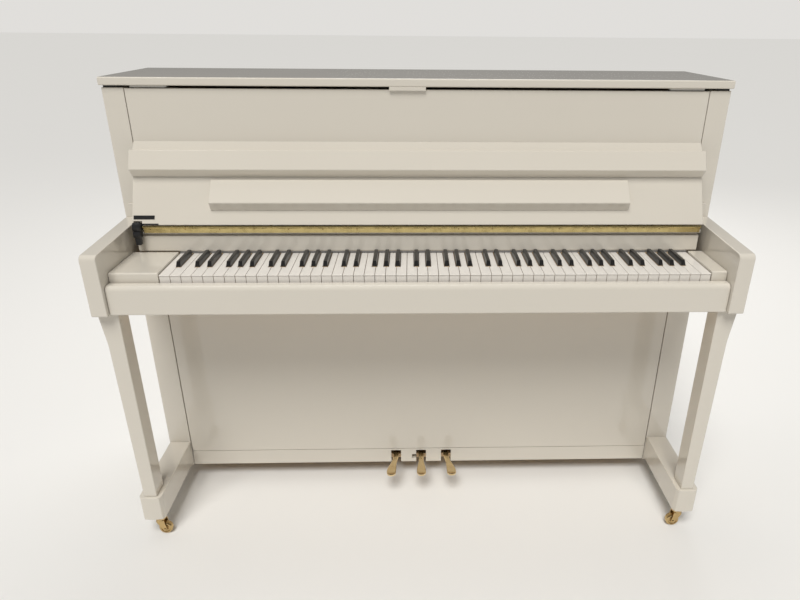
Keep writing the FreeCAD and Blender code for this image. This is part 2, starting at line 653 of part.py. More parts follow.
def key_plan():
    """Each note from the lowest A: its name, its kind, and its left and right limits on the keyboard."""
    names = ("c", "c_sharp_", "d", "d_sharp_", "e", "f", "f_sharp_", "g", "g_sharp_", "a", "a_sharp_", "b")
    pitch, gap = size("key_pitch"), size("key_gap")
    plan = []
    naturals = 0
    for note in range(88):
        step = (note + 9) % 12
        octave = (note + 9) // 12
        if step in natural_steps:
            low = size("keys_left") + pitch * naturals
            plan.append((f"{names[step]}{octave}", "natural", low + gap / 2, low + pitch - gap / 2))
            naturals += 1
        else:
            middle = size("keys_left") + pitch * naturals + sharp_shifts[step]
            half = size("sharp_width") / 2
            plan.append((f"{names[step]}{octave}", "sharp", middle - half, middle + half))
    return plan


def natural_key(plan, index):
    """A white key: a full-width head, a tail that passes between its sharps, and the stick behind."""
    name, kind, left, right = plan[index]
    clear = 1.2
    tail_left, tail_right = left, right
    if index > 0 and plan[index - 1][1] == "sharp":
        tail_left = plan[index - 1][3] + clear
    if index < 87 and plan[index + 1][1] == "sharp":
        tail_right = plan[index + 1][2] - clear
    front = size("key_front")
    shoulder, back = front + size("key_head"), size("key_back")
    points = [(left, front), (right, front), (right, shoulder), (tail_right, shoulder), (tail_right, back),
              (tail_left, back), (tail_left, shoulder), (left, shoulder)]
    clean = [point for spot, point in enumerate(points) if point != points[spot - 1]]
    key = prism(clean, "z", size("key_bottom"), size("key_top"))
    undercut = Part.makeBox(right - left + 2, size("key_lip"), size("key_thick"),
                            Vector(left - 1, front - 0.01, size("key_bottom") - 2.5))
    return key.cut(undercut)


def sharp_key(plan, index):
    """A black key: a raised, slope-fronted cap on a stick."""
    name, kind, left, right = plan[index]
    front = size("key_front") + size("key_head") + size("sharp_gap")
    bottom, top = size("key_bottom"), size("key_top")
    high = top + size("sharp_height")
    cap_back = front + size("sharp_length")
    profile = [(front, bottom), (front, top + 2), (front + 6, high), (cap_back, high), (cap_back, top),
               (size("key_back"), top), (size("key_back"), bottom)]
    key = prism(profile, "x", left, right)
    taper = size("sharp_width") * 0.12
    for side, inward in ((left, 1), (right, -1)):
        corners = [(side, top + 1), (side - inward * 3, top + 1), (side - inward * 3, high + 1),
                   (side + inward * taper, high + 1)]
        key = key.cut(prism(corners, "y", front - 1, cap_back + 1))
    return key


def keyboard():
    """Five single keys at the middle, and four groups: naturals and sharps below and above them."""
    plan = key_plan()
    first, last = 39, 43
    groups = {"naturals_bass": [], "sharps_bass": [], "naturals_treble": [], "sharps_treble": []}
    singles = {}
    for index, (name, kind, left, right) in enumerate(plan):
        key = natural_key(plan, index) if kind == "natural" else sharp_key(plan, index)
        if first <= index <= last:
            singles["key_" + name] = key
        else:
            groups[f"{kind}s_{'bass' if index < first else 'treble'}"].append(key)
    for label, keys in groups.items():
        piece(shaped(label + "_set", Part.makeCompound(keys)), label)
    for label, key in singles.items():
        piece(shaped(label + "_solid", key), label)


keyboard()

# ---------------------------------------------------------------- pedals
for hand, sign in (("left", -1), ("middle", 0), ("right", 1)):
    middle = f"{sign} * pedal_pitch"
    tip = f"{sign} * (pedal_pitch + pedal_splay)"
    front = "pedal_y - pedal_reach"
    corners = [
        (f"{middle} - pedal_neck / 2", "pedal_y + pedal_tail"),
        (f"{middle} - pedal_neck / 2", "side_front"),
        (f"{tip} - pedal_toe / 2", f"{front} + 38"), (f"{tip} - pedal_toe / 2", front),
        (f"{tip} + pedal_toe / 2", front), (f"{tip} + pedal_toe / 2", f"{front} + 38"),
        (f"{middle} + pedal_neck / 2", "side_front"),
        (f"{middle} + pedal_neck / 2", "pedal_y + pedal_tail"),
    ]
    piece(solid(f"pedal_body_{hand}", "xy", corners,
                ("pedal_height - pedal_thick / 2", "pedal_height + pedal_thick / 2"),
                {"pedal_toe * 0.46": [3, 4]}), f"pedal_{hand}")

for hand, sign in (("left", -1), ("right", 1)):
    piece(cylinder(f"rod_{hand}", "rod_r", "z", (f"{sign} * pedal_pitch", "rods_y"),
                   ("pedal_height + pedal_thick / 2 + 1.2", "rod_top")), f"pedal_rod_{hand}")

# ---------------------------------------------------------------- casters
rear_y = "side_back - 36"
mounts = []
for hand, side in both_sides:
    swivel = (f"{sign_of[hand]} * caster_x", "key_front")
    plate_part = cylinder(f"caster_plate_{hand}", "crown_r + 2", "z", swivel,
                          ("toe_bottom - 3", "toe_bottom"))
    stem = cylinder(f"caster_stem_{hand}", "stem_r", "z", swivel, ("toe_bottom - 11", "toe_bottom - 2"))
    mounts.append(fused(f"caster_mount_{hand}", [plate_part, stem]))
    cheek_y = (f"{rear_y} - 9", f"{rear_y} + 9")
    cheek_z = ("rear_wheel_r - 9", "beam_foot - 3")
    bracket = box(f"rear_plate_{hand}", side(("rear_x - cheek_out", "rear_x + cheek_out")),
                  (f"{rear_y} - 24", f"{rear_y} + 24"), ("beam_foot - 4", "beam_foot"))
    inner_cheek = box(f"rear_cheek_inner_{hand}", side(("rear_x - cheek_out", "rear_x - cheek_in")),
                      cheek_y, cheek_z)
    outer_cheek = box(f"rear_cheek_outer_{hand}", side(("rear_x + cheek_in", "rear_x + cheek_out")),
                      cheek_y, cheek_z)
    axle = cylinder(f"rear_axle_{hand}", "rear_axle_r", "x", (rear_y, "rear_wheel_r"),
                    side(("rear_x - cheek_out", "rear_x + cheek_out")))
    mounts.append(fused(f"rear_mount_{hand}", [bracket, axle, inner_cheek, outer_cheek]))
piece(grouped("caster_mount_parts", mounts), "caster_mounts")

for hand, side in both_sides:
    swivel = (f"{sign_of[hand]} * caster_x", "key_front")
    hub = (f"{sign_of[hand]} * (caster_x - trail)", "wheel_r")
    crown = cylinder(f"fork_crown_{hand}", "crown_r", "z", swivel, ("toe_bottom - 12", "toe_bottom - 4"))
    cheek_x = side(("caster_x - trail - 6", "caster_x + 6"))
    cheek_z = ("wheel_r - 6", "toe_bottom - 5")
    near = box(f"fork_near_{hand}", cheek_x, ("key_front - wheel_half - 4", "key_front - wheel_half - 1"),
               cheek_z)
    far = box(f"fork_far_{hand}", cheek_x, ("key_front + wheel_half + 1", "key_front + wheel_half + 4"),
              cheek_z)
    axle = cylinder(f"fork_axle_{hand}", "axle_r", "y", hub,
                    ("key_front - wheel_half - 4", "key_front + wheel_half + 4"))
    bore = cylinder(f"fork_bore_{hand}", "stem_r + running_gap", "z", swivel,
                    ("toe_bottom - 20", "toe_bottom"))
    fork = fused(f"fork_solid_{hand}", [crown, near, far, axle])
    piece(cut(f"fork_cut_{hand}", fork, [bore]), f"front_caster_fork_{hand}")

    tyre = cylinder(f"front_tyre_{hand}", "wheel_r", "y", hub,
                    ("key_front - wheel_half", "key_front + wheel_half"))
    hole = cylinder(f"front_hole_{hand}", "axle_r + running_gap", "y", hub,
                    ("key_front - wheel_half - 1", "key_front + wheel_half + 1"))
    piece(cut(f"front_wheel_{hand}", tyre, [hole]), f"front_caster_wheel_{hand}")

    rear_tyre = cylinder(f"rear_tyre_{hand}", "rear_wheel_r", "x", (rear_y, "rear_wheel_r"),
                         side(("rear_x - rear_wheel_half", "rear_x + rear_wheel_half")))
    rear_hole = cylinder(f"rear_hole_{hand}", "rear_axle_r + running_gap", "x", (rear_y, "rear_wheel_r"),
                         side(("rear_x - rear_wheel_half - 1", "rear_x + rear_wheel_half + 1")))
    piece(cut(f"rear_wheel_{hand}", rear_tyre, [rear_hole]), f"rear_caster_wheel_{hand}")

# ---------------------------------------------------------------- check and export
doc.recompute()
for item in doc.Objects:
    if {"Invalid", "Error"} & set(item.State):
        raise RuntimeError(f"{item.Label} did not build: {item.State}")
for item in pieces:
    if item.Shape.isNull() or not item.Shape.isValid() or not item.Shape.Solids:
        raise RuntimeError(f"{item.Label} has no sound shape")

os.makedirs("parts", exist_ok=True)
for item in pieces:
    item.Shape.exportStep(f"parts/{item.Label}.step")
print(len(pieces), "pieces")
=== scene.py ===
import itertools
import json
import math

import bmesh
import bpy
from mathutils import Matrix, Vector


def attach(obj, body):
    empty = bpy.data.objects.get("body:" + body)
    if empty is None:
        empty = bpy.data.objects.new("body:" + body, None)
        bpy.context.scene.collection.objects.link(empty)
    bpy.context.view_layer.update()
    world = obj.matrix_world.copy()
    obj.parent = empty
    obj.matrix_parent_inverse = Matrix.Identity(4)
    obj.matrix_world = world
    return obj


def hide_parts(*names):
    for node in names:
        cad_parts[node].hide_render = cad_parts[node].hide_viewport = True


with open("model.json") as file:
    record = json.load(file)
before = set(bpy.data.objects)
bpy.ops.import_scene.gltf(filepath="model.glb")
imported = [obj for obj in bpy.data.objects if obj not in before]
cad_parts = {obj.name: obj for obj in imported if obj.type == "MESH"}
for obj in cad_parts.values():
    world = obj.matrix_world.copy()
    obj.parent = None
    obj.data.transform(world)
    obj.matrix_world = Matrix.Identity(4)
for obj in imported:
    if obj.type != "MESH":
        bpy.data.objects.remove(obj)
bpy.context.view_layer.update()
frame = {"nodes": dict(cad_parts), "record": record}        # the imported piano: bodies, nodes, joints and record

scene = bpy.context.scene
mm = 0.001
print("frame loaded:", len(frame["nodes"]), "nodes")


class Value:    # a socket that takes part in sums
    def __init__(self, graph, socket):
        self.graph = graph
        self.socket = socket

    def maths(self, operation, first, second=0.0):
        made = self.graph.node("ShaderNodeMath", {"operation": operation}, {0: first, 1: second})
        return Value(self.graph, made.outputs[0])

    def __add__(self, other):
        return self.maths("ADD", self, other)

    def __radd__(self, other):
        return self.maths("ADD", other, self)

    def __sub__(self, other):
        return self.maths("SUBTRACT", self, other)

    def __rsub__(self, other):
        return self.maths("SUBTRACT", other, self)

    def __mul__(self, other):
        return self.maths("MULTIPLY", self, other)

    def __rmul__(self, other):
        return self.maths("MULTIPLY", other, self)

    def __gt__(self, other):
        return self.maths("GREATER_THAN", self, other)

    def __lt__(self, other):
        return self.maths("LESS_THAN", self, other)


class Graph:    # makes the nodes of one tree
    def __init__(self, tree):
        self.tree = tree

    def node(self, kind, settings=None, sockets=None):
        made = self.tree.nodes.new(kind)
        for name, value in (settings or {}).items():
            if name == "stops":
                ramp = made.color_ramp
                while len(ramp.elements) < len(value):
                    ramp.elements.new(0.5)
                for element, (position, colour) in zip(ramp.elements, value):
                    element.position = position
                    element.color = (*colour, 1.0)
            else:
                setattr(made, name, value)
        for name, value in (sockets or {}).items():
            if isinstance(value, Value):
                self.tree.links.new(value.socket, made.inputs[name])
            else:
                made.inputs[name].default_value = value
        return made

    def out(self, kind, settings=None, sockets=None, output=0):
        return Value(self, self.node(kind, settings, sockets).outputs[output])


class Finish(Graph):    # one material: its coordinates, its shader and the usual textures
    def __init__(self, name, **uniform):
        self.material = bpy.data.materials.new(name)
        self.material.use_nodes = True
        super().__init__(self.material.node_tree)
        self.tree.nodes.clear()
        self.shader = self.node("ShaderNodeBsdfPrincipled")
        self.node("ShaderNodeOutputMaterial", sockets={"Surface": Value(self, self.shader.outputs[0])})
        for socket, value in uniform.items():
            self.shader.inputs[socket.replace("_", " ")].default_value = value
        self.place = self.out("ShaderNodeTexCoord", output="Object")

    def stretched(self, scale, turn=(0, 0, 0)):
        return self.out("ShaderNodeMapping", None, {"Vector": self.place, "Scale": scale, "Rotation": turn})

    def noise(self, scale, detail=3.0, where=None, roughness=0.5, distortion=0.0):
        return self.out("ShaderNodeTexNoise", None, {
            "Vector": where or self.place, "Scale": scale, "Detail": detail,
            "Roughness": roughness, "Distortion": distortion})

    def axis(self, letter):
        return self.out("ShaderNodeSeparateXYZ", None, {"Vector": self.place}, "XYZ".index(letter))

    def blendColour(self, factor, first, second):
        made = self.node("ShaderNodeMix", {"data_type": "RGBA"}, {"Factor": factor})
        for index, value in ((6, first), (7, second)):
            if isinstance(value, Value):
                self.tree.links.new(value.socket, made.inputs[index])
            else:
                made.inputs[index].default_value = (*value, 1.0)
        return Value(self, made.outputs[2])

    def ramp(self, factor, stops):
        return self.out("ShaderNodeValToRGB", {"stops": stops}, {"Fac": factor})

    def clamp(self, value, low, high):    # low..high turned into 0..1, held at the ends
        made = self.node("ShaderNodeMapRange", {"clamp": True}, {
            "Value": value, "From Min": low, "From Max": high, "To Min": 0.0, "To Max": 1.0})
        return Value(self, made.outputs[0])

    def feed(self, socket, value):
        self.tree.links.new(value.socket, self.shader.inputs[socket])
        return self

    def bump(self, height, distance, strength=1.0):
        made = self.node("ShaderNodeBump", None, {
            "Height": height, "Distance": distance, "Strength": strength})
        self.tree.links.new(made.outputs[0], self.shader.inputs["Normal"])
        return self


lacquerLook = {
    "colour": (0.700, 0.655, 0.575), "shade": (0.672, 0.625, 0.545), "roughness": 0.065,
    "coat": 0.6, "coatRoughness": 0.03, "ripple": 0.000035,
}


def lacquerFinish():
    look = lacquerLook
    finish = Finish("whiteLacquer", IOR=1.52, Coat_Roughness=look["coatRoughness"], Coat_IOR=1.5)
    cloud = finish.noise(2.2, 3)
    finish.feed("Base Color", finish.blendColour(cloud, look["colour"], look["shade"]))
    polish = finish.noise(14, 5, roughness=0.65)    # faint hazing left by the buffing wheel
    finish.feed("Roughness", look["roughness"] + polish * 0.045)
    finish.feed("Coat Weight", look["coat"] - polish * 0.12)
    peel = finish.noise(42, 2) + finish.noise(160, 1) * 0.25    # the slight unevenness of sprayed lacquer
    return finish.bump(peel, look["ripple"]).material


brassLook = {"spots": 55, "spotRange": (0.42, 0.78), "tarnish": 0.55, "brush": (90, 900, 900)}


def brassFinish(name, colour, tarnish, roughness):
    look = brassLook
    finish = Finish(name, Metallic=1.0)
    dulled = finish.noise(look["spots"], 6, roughness=0.62)    # where fingers have dulled it
    spots = finish.clamp(dulled, *look["spotRange"])
    finish.feed("Base Color", finish.blendColour(spots * look["tarnish"], colour, tarnish))
    brush = finish.noise(1.0, 4, finish.stretched(look["brush"]))    # polishing lines along X
    finish.feed("Roughness", roughness + spots * 0.16 + brush * 0.08)
    return finish.bump(brush, 0.00002, 0.6).material


woodLook = {"rings": 0.55, "wander": 7.0, "ringShare": 0.45, "warpShare": 0.3, "fibreShare": 0.45}


def woodFinish(name, pale, dark, grain=(26, 26, 1.6), turn=(0, 0, 0), roughness=0.5, depth=0.00008, coat=0.0):
    look = woodLook
    finish = Finish(name, Coat_Roughness=0.2)
    where = finish.stretched(grain, turn)
    warp = finish.noise(1.0, 4, where, 0.6, 0.6)    # keeps the year rings from running straight
    rings = finish.out("ShaderNodeTexWave", {"wave_type": "RINGS", "rings_direction": "SPHERICAL"}, {
        "Vector": where, "Scale": look["rings"], "Distortion": look["wander"], "Detail": 3.0,
        "Detail Scale": 1.3})
    fibre = finish.noise(3.5, 8, finish.stretched([s * 3 for s in grain], turn), 0.7)
    shares = rings * look["ringShare"] + warp * look["warpShare"] + fibre * look["fibreShare"]
    mixed = finish.clamp(shares, 0.3, 0.95)
    middle = [(a + b) / 2 for a, b in zip(pale, dark)]
    finish.feed("Base Color", finish.ramp(mixed, [(0.0, pale), (0.55, middle), (1.0, dark)]))
    finish.feed("Roughness", roughness + fibre * 0.18)
    if coat:
        finish.shader.inputs["Coat Weight"].default_value = coat
    return finish.bump(fibre, depth).material


feltLook = {"sheen": 0.45, "hairs": 900, "clumps": 140, "roughness": 0.82, "depth": 0.00025}


def feltFinish(name, colour, dark):
    look = feltLook
    finish = Finish(name, Sheen_Weight=look["sheen"], Sheen_Roughness=0.5)
    fuzz = finish.noise(look["hairs"], 6, roughness=0.75)
    clump = finish.noise(look["clumps"], 4, roughness=0.6)
    finish.feed("Base Color", finish.blendColour(fuzz * 0.6 + clump * 0.4, dark, colour))
    finish.feed("Roughness", look["roughness"] + clump * 0.15)
    return finish.bump(fuzz + clump, look["depth"], 0.8).material


keyLook = {    # heights and places in metres
    "top": 0.722, "skin": 0.0024, "front": -0.241, "lip": 0.0035,
    "white": (0.84, 0.80, 0.745), "black": (0.016, 0.0155, 0.0155), "whiteRough": 0.14, "blackRough": 0.26,
    "blackSkin": -0.0002,    # the black caps start this far above the white key tops
}


def keyFinish(name, colour, skin, roughness):
    # moulded covering above a line, bare lime-wood stick below it and behind it
    finish = Finish(name, IOR=1.49)
    z, y = finish.axis("Z"), finish.axis("Y")
    covered = z > keyLook["top"] - skin
    front = y < keyLook["front"] + keyLook["lip"]
    moulded = finish.clamp(covered + front, 0.0, 1.0)
    grain = finish.noise(2.5, 7, finish.stretched((120, 3, 120)), 0.65)
    wood = finish.ramp(grain, [(0.25, (0.72, 0.55, 0.34)), (0.8, (0.52, 0.36, 0.20))])
    wear = finish.noise(60, 4)
    tint = finish.blendColour(wear, colour, [c * 0.93 for c in colour])
    finish.feed("Base Color", finish.blendColour(moulded, wood, tint))
    finish.feed("Roughness", (1.0 - moulded) * 0.4 + roughness + wear * 0.06)
    return finish.bump(finish.noise(700, 3), 0.000015).material


stringLook = {    # the plane in metres between bass and treble strings, turns of winding, pale and dark wire
    "between": 0.1213, "winding": 260.0,
    "copper": ((0.72, 0.36, 0.20), (0.45, 0.22, 0.12)), "steel": ((0.62, 0.63, 0.66), (0.44, 0.44, 0.46)),
}


def stringFinish():
    # plain steel in the rear plane, copper-wound bass strings in the front plane
    finish = Finish("stringWire", Metallic=1.0)
    bass = finish.axis("Y") < stringLook["between"]
    winding = finish.out("ShaderNodeTexWave", {"bands_direction": "Z"}, {
        "Vector": finish.place, "Scale": stringLook["winding"], "Distortion": 0.0})
    age = finish.noise(30, 4)
    copper = finish.blendColour(age, *stringLook["copper"])
    steel = finish.blendColour(age, *stringLook["steel"])
    finish.feed("Base Color", finish.blendColour(bass, steel, copper))
    finish.feed("Roughness", 0.24 + age * 0.15)
    return finish.bump(winding * bass, 0.0002).material


def partedFinish(name, lower, upper, height):
    # felt above a height, pear-wood moulding below it
    finish = Finish(name, Sheen_Weight=0.25, Sheen_Roughness=0.5)
    felt = finish.axis("Z") > height
    grain = finish.noise(2.5, 7, finish.stretched((120, 120, 8)), 0.65)
    fuzz = finish.noise(900, 5, roughness=0.75)
    wood = finish.blendColour(grain, lower, [c * 0.72 for c in lower])
    wool = finish.blendColour(fuzz, upper, [c * 0.76 for c in upper])
    finish.feed("Base Color", finish.blendColour(felt, wood, wool))
    finish.feed("Roughness", 0.42 + felt * 0.45)
    return finish.bump(fuzz * felt + grain * 0.3, 0.0002, 0.7).material


plateLook = {"metal": 0.85, "pale": (0.62, 0.43, 0.19), "dark": (0.50, 0.34, 0.15), "roughness": 0.34}


def plateFinish():
    look = plateLook
    finish = Finish("bronzedIron", Metallic=look["metal"])
    grit = finish.noise(420, 4, roughness=0.7)    # the sand of the mould
    broad = finish.noise(9, 3)    # uneven bronzing
    finish.feed("Base Color", finish.blendColour(broad, look["pale"], look["dark"]))
    finish.feed("Roughness", look["roughness"] + grit * 0.2)
    return finish.bump(grit + broad * 2.0, 0.0003, 0.6).material


def plasticFinish(name, colour, roughness, grain=380):
    finish = Finish(name, IOR=1.47)
    pores = finish.noise(grain, 4, roughness=0.6)
    finish.feed("Base Color", finish.blendColour(pores, colour, [c * 0.8 + 0.004 for c in colour]))
    finish.feed("Roughness", roughness + pores * 0.12)
    return finish.bump(pores, 0.00005, 0.7).material


def steelFinish(name, colour, roughness):
    finish = Finish(name, Metallic=1.0)
    scratch = finish.noise(1.0, 4, finish.stretched((300, 2000, 300)))
    finish.feed("Base Color", finish.blendColour(scratch, colour, [c * 0.82 for c in colour]))
    finish.feed("Roughness", roughness + scratch * 0.15)
    return finish.bump(scratch, 0.00002, 0.5).material


finishes = {
    "lacquer": lacquerFinish(),
    "pedalBrass": brassFinish("pedalBrass", (0.86, 0.68, 0.40), (0.66, 0.48, 0.25), 0.13),
    "casterBrass": brassFinish("casterBrass", (0.62, 0.45, 0.22), (0.34, 0.23, 0.11), 0.14),
    "hingeBrass": brassFinish("hingeBrass", (0.66, 0.53, 0.24), (0.36, 0.27, 0.11), 0.17),
    "whiteKeys": keyFinish("whiteKeyCover", keyLook["white"], keyLook["skin"], keyLook["whiteRough"]),
    "blackKeys": keyFinish("blackKeyCap", keyLook["black"], keyLook["blackSkin"], keyLook["blackRough"]),
    "postWood": woodFinish("postSpruce", (0.70, 0.51, 0.29), (0.50, 0.32, 0.15)),
    "bedWood": woodFinish("keybedPly", (0.68, 0.50, 0.30), (0.50, 0.34, 0.18), (1.2, 18, 40), roughness=0.45),
    "spruce": woodFinish("soundboardSpruce", (0.74, 0.55, 0.30), (0.60, 0.40, 0.18), (60, 60, 2.2),
                         (0, math.radians(38), 0), 0.32, 0.00005, 0.35),
    "rib": woodFinish("ribSpruce", (0.72, 0.54, 0.30), (0.56, 0.37, 0.17), (2.2, 60, 60),
                      (0, math.radians(-38), 0), 0.4, 0.00006, 0.2),
    "maple": woodFinish("actionMaple", (0.76, 0.60, 0.38), (0.60, 0.43, 0.24), (2.0, 90, 90), roughness=0.4),
    "dowel": woodFinish("rodBeech", (0.72, 0.52, 0.32), (0.56, 0.37, 0.20), (90, 90, 3), roughness=0.45),
    "plate": plateFinish(),
    "wire": stringFinish(),
    "pins": steelFinish("blueSteel", (0.36, 0.38, 0.43), 0.28),
    "screw": steelFinish("brassScrew", (0.72, 0.52, 0.24), 0.22),
    "ironBolt": steelFinish("ironBolt", (0.30, 0.29, 0.28), 0.42),
    "hammerSet": partedFinish("hammerSet", (0.62, 0.43, 0.25), (0.84, 0.82, 0.76), 0.972),
    "damperSet": partedFinish("damperSet", (0.66, 0.48, 0.29), (0.74, 0.71, 0.64), 0.93),
    "blackFelt": feltFinish("blackFelt", (0.045, 0.043, 0.042), (0.02, 0.02, 0.02)),
    "greyFelt": feltFinish("greyFelt", (0.34, 0.33, 0.32), (0.20, 0.19, 0.19)),
    "muteFelt": feltFinish("muteFelt", (0.60, 0.58, 0.53), (0.42, 0.40, 0.37)),
    "blackPlastic": plasticFinish("blackPlastic", (0.02, 0.02, 0.021), 0.34),
    # painted shade: the dark finish of the bar that stands in for the shaded inside of a driver slot
    "slotPaintedShade": steelFinish("screwSlotPaintedShade", (0.10, 0.08, 0.06), 0.55),
    "hubIron": steelFinish("hubIron", (0.34, 0.33, 0.32), 0.36),
    "tread": plasticFinish("wheelTread", (0.035, 0.031, 0.028), 0.5, 240),
}
print("finishes made:", len(finishes))


def paint(obj, *materials):
    obj.data.materials.clear()
    for material in materials:
        obj.data.materials.append(material)


def newObject(name, mesh):
    made = bpy.data.objects.new(name, mesh)
    scene.collection.objects.link(made)
    return made


def applied(obj):    # the object's own mesh takes its modifiers' result
    graph = bpy.context.evaluated_depsgraph_get()
    mesh = bpy.data.meshes.new_from_object(obj.evaluated_get(graph))
    obj.modifiers.clear()
    obj.data = mesh
    return obj


def smooth(obj, degrees=35):
    obj.data.polygons.foreach_set("use_smooth", [True] * len(obj.data.polygons))
    obj.data.set_sharp_from_angle(angle=math.radians(degrees))


easedLook = {"sharpest": 40, "crease": 38}    # degrees: edges that are eased, edges that stay crisp


def eased(made, width, segments=3, corner="MITER_SHARP"):    # width in millimetres
    bevel = made.modifiers.new("easedEdges", "BEVEL")
    bevel.width = width * mm
    bevel.segments = segments
    bevel.limit_method = "ANGLE"
    bevel.angle_limit = math.radians(easedLook["sharpest"])
    bevel.miter_outer = corner
    held = list(made.data.materials)
    applied(made)
    paint(made, *held)
    smooth(made, easedLook["crease"])
    weighted = made.modifiers.new("evenShading", "WEIGHTED_NORMAL")
    weighted.keep_sharp = True
    return applied(made)


def softened(node, material, width=1.2, segments=3):
    # a copy of a CAD piece with its sharp edges eased, as sanded and buffed
    mesh = frame["nodes"][node].data.copy()
    shape = bmesh.new()
    shape.from_mesh(mesh)
    bmesh.ops.remove_doubles(shape, verts=shape.verts, dist=1e-6)
    bmesh.ops.dissolve_limit(shape, angle_limit=math.radians(0.5), verts=shape.verts, edges=shape.edges)
    shape.to_mesh(mesh)
    shape.free()
    made = newObject(node + "_shape", mesh)
    paint(made, material)
    eased(made, width, segments, "MITER_ARC")
    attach(made, nodeBody[node])
    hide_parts(node)


bodies = frame["record"]["behaviour"]["bodies"]
nodeBody = {node: body for body, members in bodies.items() for node in members}

lacquered = {    # eased edge of each lacquered piece, in millimetres
    "side_panel_left": 1.5, "side_panel_right": 1.5, "arm_left": 2.0, "arm_right": 2.0,
    "key_block_left": 1.5, "key_block_right": 1.5, "key_slip": 1.5, "leg_left": 2.0, "leg_right": 2.0,
    "toe_block_left": 2.0, "toe_block_right": 2.0, "bottom_rail": 1.2, "lower_panel": 1.5,
    "upper_panel": 1.0, "name_strip": 1.0, "top_lid": 2.0, "fallboard": 1.2, "fallboard_lip": 1.5,
    "music_ledge": 1.0,
}
for node, edge in lacquered.items():
    softened(node, finishes["lacquer"], edge)
print("lacquered case done")

keyEdges = {    # eased edge of each key, in millimetres
    "naturals_bass": 0.7, "naturals_treble": 0.7, "key_c4": 0.7, "key_d4": 0.7, "key_e4": 0.7,
    "sharps_bass": 0.9, "sharps_treble": 0.9, "key_c_sharp_4": 0.9, "key_d_sharp_4": 0.9,
}
for node, edge in keyEdges.items():
    slot, finish = ("key_ebony", "blackKeys") if "sharp" in node else ("key_ivory", "whiteKeys")
    softened(node, finishes[finish], edge, 2)
print("keys done")

plainNodes = {
    "keybed": "bedWood", "bottom_board": "bedWood", "back_frame": "postWood", "soundboard": "spruce",
    "soundboard_ribs": "rib", "bridges": "maple", "iron_plate": "plate", "pin_block": "maple",
    "tuning_pins": "pins", "strings": "wire", "key_frame": "maple", "action_frame": "maple",
    "hammers": "hammerSet", "hammer_rail": "maple", "dampers": "damperSet", "mute_rail": "muteFelt",
    "fallboard_hinge": "hingeBrass", "lid_hinge": "hingeBrass", "lid_prop": "maple",
    "pedal_rod_left": "dowel", "pedal_rod_right": "dowel",
}
for node, name in plainNodes.items():
    paint(frame["nodes"][node], finishes[name])


def meshObject(name, points, faces, materials, body, degrees=35):
    mesh = bpy.data.meshes.new(name)
    mesh.from_pydata(points, [], faces)
    shape = bmesh.new()
    shape.from_mesh(mesh)
    bmesh.ops.recalc_face_normals(shape, faces=shape.faces)
    shape.to_mesh(mesh)
    shape.free()
    made = newObject(name, mesh)
    paint(made, *materials)
    smooth(made, degrees)
    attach(made, body)
    return made


def block(name, body, slot, material, low, high, edge=0.6, placed=None):    # low and high in millimetres
    corners = [Vector(corner) * mm for corner in itertools.product(*zip(low, high))]
    if placed:
        corners = [placed @ corner for corner in corners]
    faces = [(0, 1, 3, 2), (4, 6, 7, 5), (0, 4, 5, 1), (2, 3, 7, 6), (0, 2, 6, 4), (1, 5, 7, 3)]
    eased(meshObject(name, corners, faces, [material], body), edge)


def tubeFaces(rings, sides):    # quads between rings of points
    return [(ring * sides + step, ring * sides + (step + 1) % sides,
             (ring + 1) * sides + (step + 1) % sides, (ring + 1) * sides + step)
            for ring in range(rings - 1) for step in range(sides)]


def sweep(name, body, material, stations, sides=28, power=2.6):
    # rounded sections square to Y: (x, y, z, half width, half height) in millimetres
    points = []
    for x, y, z, wide, high in stations:
        for step in range(sides):
            angle = 2 * math.pi * step / sides
            across, above = math.cos(angle), math.sin(angle)
            points.append(Vector((x + wide * math.copysign(abs(across) ** (2 / power), across), y,
                                  z + high * math.copysign(abs(above) ** (2 / power), above))) * mm)
    faces = tubeFaces(len(stations), sides)
    faces.append(tuple(range(sides)))
    faces.append(tuple((len(stations) - 1) * sides + step for step in range(sides)))
    return meshObject(name, points, faces, [material], body, 50)


def lathe(name, body, materials, profile, axis, centre, sides=64):
    # profile of (along, radius, material) in millimetres, turned about an axis through the centre
    points = []
    along = Vector([1.0 if letter == axis else 0.0 for letter in "XYZ"])
    first = Vector((0, 0, 1)) if axis != "Z" else Vector((1, 0, 0))
    second = along.cross(first)
    for reach, radius, kind in profile:
        for step in range(sides):
            angle = 2 * math.pi * step / sides
            points.append((Vector(centre) + along * reach
                           + (first * math.cos(angle) + second * math.sin(angle)) * radius) * mm)
    kinds = [kind for reach, radius, kind in profile[1:] for step in range(sides)]
    made = meshObject(name, points, tubeFaces(len(profile), sides), materials, body, 40)
    made.data.polygons.foreach_set("material_index", kinds)
    return made


class Shaper(Graph):    # a geometry-nodes group with named inputs
    def __init__(self, name, inputs):
        self.group = bpy.data.node_groups.new(name, "GeometryNodeTree")
        super().__init__(self.group)
        self.group.interface.new_socket("Geometry", in_out="INPUT", socket_type="NodeSocketGeometry")
        for label, kind in inputs:
            self.group.interface.new_socket(label, in_out="INPUT", socket_type=f"NodeSocket{kind}")
        self.group.interface.new_socket("Geometry", in_out="OUTPUT", socket_type="NodeSocketGeometry")
        entry = self.node("NodeGroupInput")
        self.given = {socket.name: Value(self, socket) for socket in entry.outputs if socket.name}

    def finish(self, geometry, material):
        solid = self.out("GeometryNodeRealizeInstances", None, {"Geometry": geometry})
        painted = self.out("GeometryNodeSetMaterial", None, {"Geometry": solid, "Material": material})
        self.node("NodeGroupOutput", sockets={"Geometry": painted})
        return self.group


